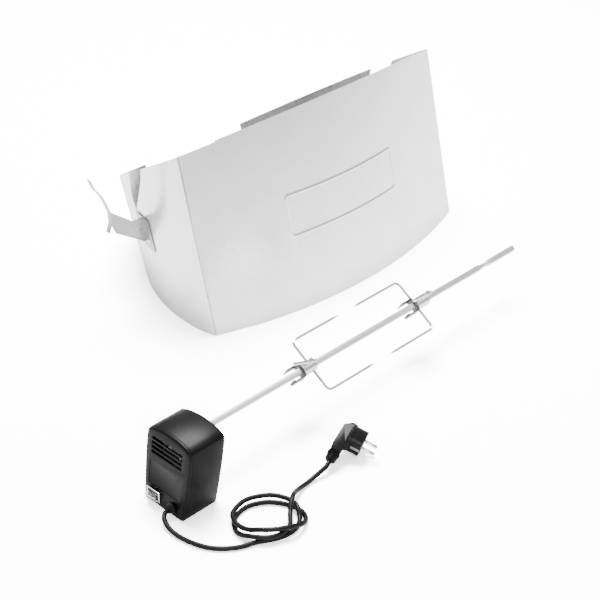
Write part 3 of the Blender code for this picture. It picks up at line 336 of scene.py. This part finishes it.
def smooth_curve(route, spacing):
    """Points a set spacing apart along a smooth curve through the route's points."""
    fine = []
    ends = [route[0] * 2 - route[1]] + list(route) + [route[-1] * 2 - route[-2]]
    for a, b, c, d in zip(ends, ends[1:], ends[2:], ends[3:]):
        for step in range(12):
            t = step / 12
            fine.append((b * 2 + (c - a) * t + (a * 2 - b * 5 + c * 4 - d) * t * t
                         + (b * 3 - a - c * 3 + d) * t * t * t) / 2)
    fine.append(Vector(route[-1]))
    lengths = [0.0]
    for near, far in zip(fine, fine[1:]):
        lengths.append(lengths[-1] + (far - near).length)
    count = int(lengths[-1] / spacing) + 1
    points = []
    index = 0
    for step in range(count):
        target = lengths[-1] * step / (count - 1)
        while index < len(fine) - 2 and lengths[index + 1] < target:
            index += 1
        share = (target - lengths[index]) / (lengths[index + 1] - lengths[index])
        points.append(fine[index].lerp(fine[index + 1], share))
    return points, lengths[-1]


def loop_point(angle, radius, height):
    turn = math.radians(angle)
    wide = radius * 1.08 * math.cos(turn)
    deep = radius * 0.96 * math.sin(turn)
    return Vector((LOOP_CENTRE.x + (wide + deep) * 0.7071, LOOP_CENTRE.y + (deep - wide) * 0.7071, height))


def cord_route():
    floor = CORD_RADIUS + 0.25 * MM
    second = 10.1 * MM
    third = 16.9 * MM
    lead = [(2, -17, 12), (-7, -17, 12), (-14.6, -17, 12), (-20.6, -18.5, 11.4), (-26.5, -25, 9),
            (-30, -38, 5.6), (-30, -55, 3.5), (-26, -76, 3.3), (-18, -96, 3.3), (-5, -112, 3.3),
            (12, -124, 3.3)]
    route = [Vector((MOTOR_X + x * MM, MOTOR_Y + y * MM, z * MM)) for x, y, z in lead]
    turns = [(-108, 46.5, floor), (-95, 41, floor), (-78, 38, floor), (-55, 36.5, floor), (-28, 36.5, floor),
             (-5, 36.5, floor), (10, 36.8, 5 * MM), (22, 37.8, 8.5 * MM), (35, 39.4, second), (60, 41, second),
             (90, 41.5, second), (130, 41.5, second), (170, 41.5, second), (195, 40, second),
             (215, 38, second), (235, 36.3, 12 * MM), (252, 35.5, 15.5 * MM), (270, 35.5, third),
             (288, 36.2, third), (305, 38, third), (320, 40.3, 15 * MM), (335, 42.4, 11 * MM),
             (350, 43.6, 7.3 * MM), (365, 44.0, 4.3 * MM), (380, 43.2, floor), (395, 41, floor),
             (415, 37.5, floor), (450, 35.5, floor), (490, 36, floor), (525, 37.8, floor), (550, 40.2, floor),
             (570, 42.5, floor), (584, 43.8, 5 * MM), (597, 44.2, 8.5 * MM), (611, 43.6, second),
             (628, 42.4, second), (643, 40.6, second), (658, 37.2, second), (675, 33, second),
             (690, 29.8, second)]
    route += [loop_point(angle, radius * MM, height) for angle, radius, height in turns]
    tail = [(92, -128.5, 11), (100, -121.5, 15), (107.5, -116.5, 17.6), (115, -111, 17), (126, -104, 11.5),
            (140, -98.5, 6.4), (152, -96.5, 4.4), (164, -95.5, 5), (176, -96, 7.8)]
    route += [Vector((MOTOR_X + x * MM, MOTOR_Y + y * MM, z * MM)) for x, y, z in tail]
    boot = PLUG_FACE - PLUG_PINS * PLUG_DEPTH
    for reach in (9 * MM, 0.0, -6 * MM, -14 * MM):
        route.append(boot + PLUG_CABLE * (BOOT_LENGTH + reach))
    return route


def power_cord():
    points, length = smooth_curve(cord_route(), 0.0035)
    data = bpy.data.curves.new("power_cord_sheath", "CURVE")
    data.dimensions = "3D"
    data.bevel_depth = CORD_RADIUS
    data.bevel_resolution = 5
    data.use_fill_caps = True
    data.materials.append(CORD_RUBBER)
    spline = data.splines.new("POLY")
    spline.points.add(len(points) - 1)
    for spot, point in zip(spline.points, points):
        spot.co = (*point, 1.0)
    spline.use_smooth = True
    obj = link(bpy.data.objects.new("power_cord_sheath", data))
    place_piece(obj, "motor_unit", "power_cord")
    return obj, points[0], length


def plug():
    """Plug moulding with its ribbed boot, pins and earth clips."""
    boot = frame_at(PLUG_FACE - PLUG_PINS * PLUG_DEPTH, PLUG_CABLE, PLUG_PINS)
    pieces = [polish("plug_body", PLUG_RUBBER, 0.0005)]
    for i in range(BOOT_RIBS):
        start = 0.0325 + 0.0036 * i
        radius = 0.0087 - 0.0005 * i
        profile = [(radius - 0.004, start), (radius, start + 0.0003), (radius + 0.0003, start + 0.0008),
                   (radius, start + 0.0017), (radius - 0.004, start + 0.0020)]
        rib = turned(f"plug_boot_rib_{i + 1}", profile, boot, PLUG_RUBBER, 48)
        pieces.append(place_piece(crease(rib), "motor_unit"))
    for node in ("plug_pin_low", "plug_pin_high"):
        pieces.append(polish(node, CHROME, 0.0003))
    for node in ("earth_clip_far", "earth_clip_near"):
        pieces.append(polish(node, SPRING_STEEL, 0.0001))
    return pieces


# ---------------------------------------------------------------- collar

def wall_point(x, y, slope):
    """World point of the collar wall: an outline point at the floor carried up the leaning wall."""
    share = slope / 0.3
    deep = SIDE_Y + (y - SIDE_Y) * (1 + 0.12 * share)
    return Vector((COLLAR_X + x * (1 + 0.008 * share), COLLAR_Y + deep + slope * math.sin(LEAN),
                   COLLAR_Z + slope * math.cos(LEAN)))


def rim_slope(y):
    return SEAM_HEIGHT - HEIGHT_FALL * y


def front_outline(x):
    radius = (SEAM_X ** 2 + FRONT_BULGE ** 2) / (2 * FRONT_BULGE)
    return radius - FRONT_BULGE - math.sqrt(radius ** 2 - x ** 2)


def side_outline(angle):
    x = SIDE_A * math.cos(angle)
    y = SIDE_Y + SIDE_B * math.sin(angle)
    pull = max(0.0, 1 - y / SIDE_Y)
    return x - 0.0038 * pull ** 2, y


def seam_points(side, half):
    inward = Vector((-0.79 * side, 0.61))
    across = Vector((0.61 * side, 0.79))
    corner = Vector((SEAM_X * side, 0.0)) + across * half * SEAM_GAP
    return corner, corner + inward * FLANGE


def fold(corner, tip, face):
    """Points of the rounded fold between a seam flange and the panel's face."""
    inward = corner + (tip - corner).normalized() * FOLD_RADIUS
    along = corner + (face - corner).normalized() * FOLD_RADIUS
    arc = [inward.lerp(corner, i / 4).lerp(corner.lerp(along, i / 4), i / 4) for i in range(5)]
    return [tuple(point) for point in [tip] + arc]


def stations(start, end, coarse, fine, zones):
    """Grid lines from start to end, closer together inside the zones."""
    marks = [start]
    while marks[-1] < end - 1e-9:
        here = marks[-1]
        step = fine if any(low <= here < high for low, high in zones) else coarse
        ahead = [low for low, high in zones if here < low < here + step]
        marks.append(min([here + step, end] + ahead))
    return marks


def plate_relief(x, slope):
    """How far the pressed plate stands out: a rounded bead round a slightly raised field."""
    half_x = (PLATE_RIGHT - PLATE_LEFT) / 2 - PLATE_CORNER
    half_z = (PLATE_HIGH - PLATE_LOW) / 2 - PLATE_CORNER
    over_x = abs(x - (PLATE_LEFT + PLATE_RIGHT) / 2) - half_x
    over_z = abs(slope - (PLATE_LOW + PLATE_HIGH) / 2) - half_z
    outside = math.hypot(max(over_x, 0.0), max(over_z, 0.0)) + min(max(over_x, over_z), 0.0) - PLATE_CORNER
    bead = BEAD_RISE * math.exp(-((outside + 0.0018) / BEAD_WIDTH) ** 2)
    field = PLATE_RISE / (1 + math.exp((outside + 0.002) / 0.0006))
    return bead + field


def sheet_grid(name, grid, material):
    """A solidified sheet from a grid of points, its thickness towards the collar's middle."""
    bm = bmesh.new()
    lines = [[bm.verts.new(point) for point in line] for line in grid]
    for near, far in zip(lines, lines[1:]):
        for i in range(len(near) - 1):
            bm.faces.new((near[i], far[i], far[i + 1], near[i + 1]))
    bmesh.ops.remove_doubles(bm, verts=bm.verts, dist=1e-7)
    bmesh.ops.recalc_face_normals(bm, faces=bm.faces)
    middle = wall_point(0, 0.1, 0.1)
    probe = max(bm.faces, key=lambda face: face.calc_area())
    if (probe.calc_center_median() - middle).dot(probe.normal) < 0:
        bmesh.ops.reverse_faces(bm, faces=bm.faces)
    mesh = bpy.data.meshes.new(name)
    bm.to_mesh(mesh)
    bm.free()
    mesh.materials.append(material)
    # The sheet's inner side (the solidify's offset material) gets the darkened stainless: painted shade.
    mesh.materials.append(PAINTED_SHADE_STAINLESS)
    mesh.polygons.foreach_set("use_smooth", [True] * len(mesh.polygons))
    obj = link(bpy.data.objects.new(name, mesh))
    solid = obj.modifiers.new("sheet", "SOLIDIFY")
    solid.thickness = SHEET
    solid.offset = -1.0
    solid.use_even_offset = True
    solid.material_offset = 1
    return obj


def front_panel():
    first = -SEAM_X + 0.004
    face = Vector((first, front_outline(first) - SEAM_GAP / 2))
    left = fold(*seam_points(-1, -1), face)
    right = fold(*seam_points(1, -1), Vector((-face.x, face.y)))
    columns = list(left)
    zones = [(PLATE_LEFT - 0.004, PLATE_LEFT + 0.014), (PLATE_RIGHT - 0.014, PLATE_RIGHT + 0.004),
             (-HEM_X - 0.001, -HEM_X + 0.001), (HEM_X - 0.001, HEM_X + 0.001)]
    for x in stations(first, -first, 0.006, FINE_STEP, zones):
        columns.append((x, front_outline(x) - SEAM_GAP / 2))
    columns += reversed(right)
    marks = stations(0.0, 0.27, 0.009, FINE_STEP, [(PLATE_LOW - 0.004, PLATE_LOW + 0.014),
                                                   (PLATE_HIGH - 0.014, PLATE_HIGH + 0.004)])
    grid = []
    for x, y in columns:
        inner = abs(x) < HEM_X
        top = rim_slope(y) + (HEM_RISE if inner else 0.0)
        low = 0.0 if inner else 0.0006
        line = []
        for mark in marks:
            slope = low + mark if mark < 0.2 else 0.2 + (mark - 0.2) * (top - 0.2) / 0.07
            point = wall_point(x, y, slope)
            point.y -= plate_relief(x, slope)
            line.append(point)
        grid.append(line)
    panel = sheet_grid("front_panel_skin", grid, STAINLESS)
    return place_piece(crease(panel), "collar", "front_panel")


def front_hem():
    """The inward lip under the front panel, which it stands on."""
    grid = []
    for x in stations(-HEM_X, HEM_X, 0.008, 0.008, []):
        edge = wall_point(x, front_outline(x) - SEAM_GAP / 2, 0.0)
        grid.append([edge + Vector((0, 0.0003, 0.0001)), edge + Vector((0, LIP, 0.0001))])
    hem = sheet_grid("front_panel_hem", grid, STAINLESS)
    hem.modifiers["sheet"].offset = 1.0 if hem.data.polygons[0].normal.z > 0 else -1.0
    return place_piece(crease(hem), "collar", "front_panel")


def prism(name, outline, x_low, x_high):
    """A cutter: an outline in the Y-Z plane run along X."""
    bm = bmesh.new()
    face = bm.faces.new([bm.verts.new((x_low, y, z)) for y, z in outline])
    grown = bmesh.ops.extrude_face_region(bm, geom=[face])
    moved = [item for item in grown["geom"] if isinstance(item, bmesh.types.BMVert)]
    bmesh.ops.translate(bm, verts=moved, vec=(x_high - x_low, 0, 0))
    return object_from(name, bm, STAINLESS)


def cut(obj, cutter):
    boolean = obj.modifiers.new("cut", "BOOLEAN")
    boolean.operation = "DIFFERENCE"
    boolean.solver = "EXACT"
    boolean.object = cutter
    apply_modifiers(obj)
    bpy.data.objects.remove(cutter, do_unlink=True)
    return obj


def notch_outline():
    """The spit notch: a sloping front edge that curls under to a steep rear edge."""
    front = [(86, 230), (92, 213), (116, 173), (136, 145)]
    rear = [(137, 150), (139, 169), (134, 187), (126.5, 207)]
    edge = [wall_point(0, y * MM, slope * MM) for y, slope in front + rear]
    front_run, _ = smooth_curve(edge[:4], 0.003)
    rear_run, _ = smooth_curve(edge[4:], 0.003)
    outline = [(point.y, point.z) for point in front_run + rear_run]
    outline.append((outline[-1][0] - 0.004, 0.29))
    outline.append((outline[0][0] - 0.03, 0.29))
    return outline


def side_panel(name, side, node):
    columns = fold(*seam_points(1, 1), Vector(side_outline(SIDE_START)))
    sweep = math.acos(REAR_GAP / SIDE_A) - SIDE_START
    columns += [side_outline(SIDE_START + sweep * i / SIDE_COLUMNS) for i in range(SIDE_COLUMNS + 1)]
    grid = []
    for x, y in columns:
        top = rim_slope(y)
        grid.append([wall_point(x * side, y, top * row / SIDE_ROWS) for row in range(SIDE_ROWS + 1)])
    panel = sheet_grid(name, grid, STAINLESS)
    apply_modifiers(panel)
    reach = COLLAR_X + side * 0.27
    cut(panel, prism("notch", notch_outline(), reach - 0.04, reach + 0.04))
    if side < 0:
        low = wall_point(0, 0.1355, 0.062)
        high = wall_point(0, 0.1362, 0.149)
        slit = [(low.y - 0.0008, low.z), (low.y + 0.0008, low.z), (high.y + 0.0008, high.z),
                (high.y - 0.0008, high.z)]
        cut(panel, prism("slit", slit, reach - 0.04, reach + 0.04))
    return place_piece(crease(panel), "collar", node)


def rear_outline(x, inset):
    y = SIDE_Y + SIDE_B * math.sqrt(1 - (x / SIDE_A) ** 2)
    normal = Vector((x / SIDE_A ** 2, (y - SIDE_Y) / SIDE_B ** 2)).normalized()
    return x - normal.x * inset, y - normal.y * inset


def rear_bridge():
    half = REAR_GAP + BRIDGE_OVERLAP
    grid = []
    for i in range(41):
        x, y = rear_outline(half * (i / 20 - 1), BRIDGE_INSET)
        grid.append([wall_point(x, y, BRIDGE_HEIGHT * row / 4) for row in range(5)])
    strip = sheet_grid("rear_bridge_strip", grid, STAINLESS)
    return place_piece(crease(strip), "collar", "rear_bridge")


def collar_hardware():
    for node in NODES:
        if node.startswith("seam_") or "rivet" in node:
            polish(node, CHROME, 0.0002)
    # The bracket is the collar's own stainless, darkened here as painted shade.
    polish("motor_bracket", PAINTED_SHADE_STAINLESS, 0.0002)


# ---------------------------------------------------------------- motor unit, spit and forks

def motor_unit():
    polish("front_cover", CASE_PLASTIC, 0.0005)
    polish("rear_housing", CASE_PLASTIC, 0.0008)
    for node in NODES:
        if node.startswith("case_screw"):
            polish(node, CHROME, 0.0002)
    polish("hanger_plate", STAINLESS, 0.0003)
    polish("output_bushing", DARK_STEEL, 0.0003)
    polish("gear_plate_front", STAINLESS)
    polish("gear_plate_rear", STAINLESS)
    polish("motor_stator", DARK_STEEL)
    polish("motor_coil", COPPER, 0.0008)
    polish("terminal_block", WHITE_PLASTIC, 0.0004)
    polish("switch_bezel", CHROME, 0.0004)
    polish("switch_body", GLOSS_PLASTIC)
    polish("switch_boot", CLEAR)
    polish("switch_rocker", GLOSS_PLASTIC, 0.0004)
    polish("cord_gland", CORD_RUBBER, 0.0003)
    for node in ("output_gear", "idler_gear_1", "idler_gear_2"):
        polish(node, WHITE_PLASTIC)
    polish("motor_rotor", DARK_STEEL)
    polish("drive_socket", DARK_STEEL, 0.0002)


def spit_and_forks():
    polish("spit_rod", STEEL, 0.0003)
    for number in (1, 2):
        polish(f"fork_{number}_prongs", CHROME)
        polish(f"fork_{number}_bracket", DARK_STEEL, 0.0003)
        polish(f"fork_{number}_thumbscrew", CHROME)


# ---------------------------------------------------------------- floor and light

def stage():
    """White floor: the camera sees it brighter than the metal does, as on an overexposed white sweep."""
    made, tree, bsdf = shader("floor", (0.9, 0.9, 0.9), 0.7)
    soft = noise(tree, texture_space(tree, (1, 1, 1)), 3.0, 2.0)
    tree.links.new(tint(tree, soft, (0.93, 0.93, 0.93), (0.95, 0.95, 0.95)), bsdf.inputs["Base Color"])
    bright = tree.nodes.new("ShaderNodeBsdfDiffuse")
    bright.inputs["Color"].default_value = (FLOOR_GAIN, FLOOR_GAIN, FLOOR_GAIN, 1.0)
    seen = tree.nodes.new("ShaderNodeLightPath")
    mixed = tree.nodes.new("ShaderNodeMixShader")
    tree.links.new(seen.outputs["Is Camera Ray"], mixed.inputs["Fac"])
    tree.links.new(bsdf.outputs["BSDF"], mixed.inputs[1])
    tree.links.new(bright.outputs["BSDF"], mixed.inputs[2])
    tree.links.new(mixed.outputs["Shader"], tree.nodes["Material Output"].inputs["Surface"])
    bm = bmesh.new()
    bmesh.ops.create_grid(bm, x_segments=1, y_segments=1, size=FLOOR_SIZE)
    floor = object_from("floor", bm, made)
    world = bpy.data.worlds.new("studio")
    world.use_nodes = True
    world.node_tree.nodes["Background"].inputs["Color"].default_value = (1.0, 1.0, 1.0, 1.0)
    world.node_tree.nodes["Background"].inputs["Strength"].default_value = WORLD_STRENGTH
    bpy.context.scene.world = world
    softbox("overhead", (0.55, 0.65, 2.9), 1.4, 320.0)
    softbox("front fill", (-1.9, -2.1, 1.5), 0.7, 35.0)


def softbox(name, spot, size, power):
    data = bpy.data.lights.new(name, "AREA")
    data.size = size
    data.energy = power
    lamp = link(bpy.data.objects.new(name, data))
    lamp.location = spot
    lamp.rotation_euler = (Vector((0.05, -0.05, 0.1)) - Vector(spot)).to_track_quat("-Z", "Y").to_euler()


camera()
sheath, cord_exit, cord_length = power_cord()
plug_pieces = plug()
front_panel()
front_hem()
side_panel("left_panel_skin", -1, "left_panel")
side_panel("right_panel_skin", 1, "right_panel")
rear_bridge()
collar_hardware()
motor_unit()
spit_and_forks()
stage()
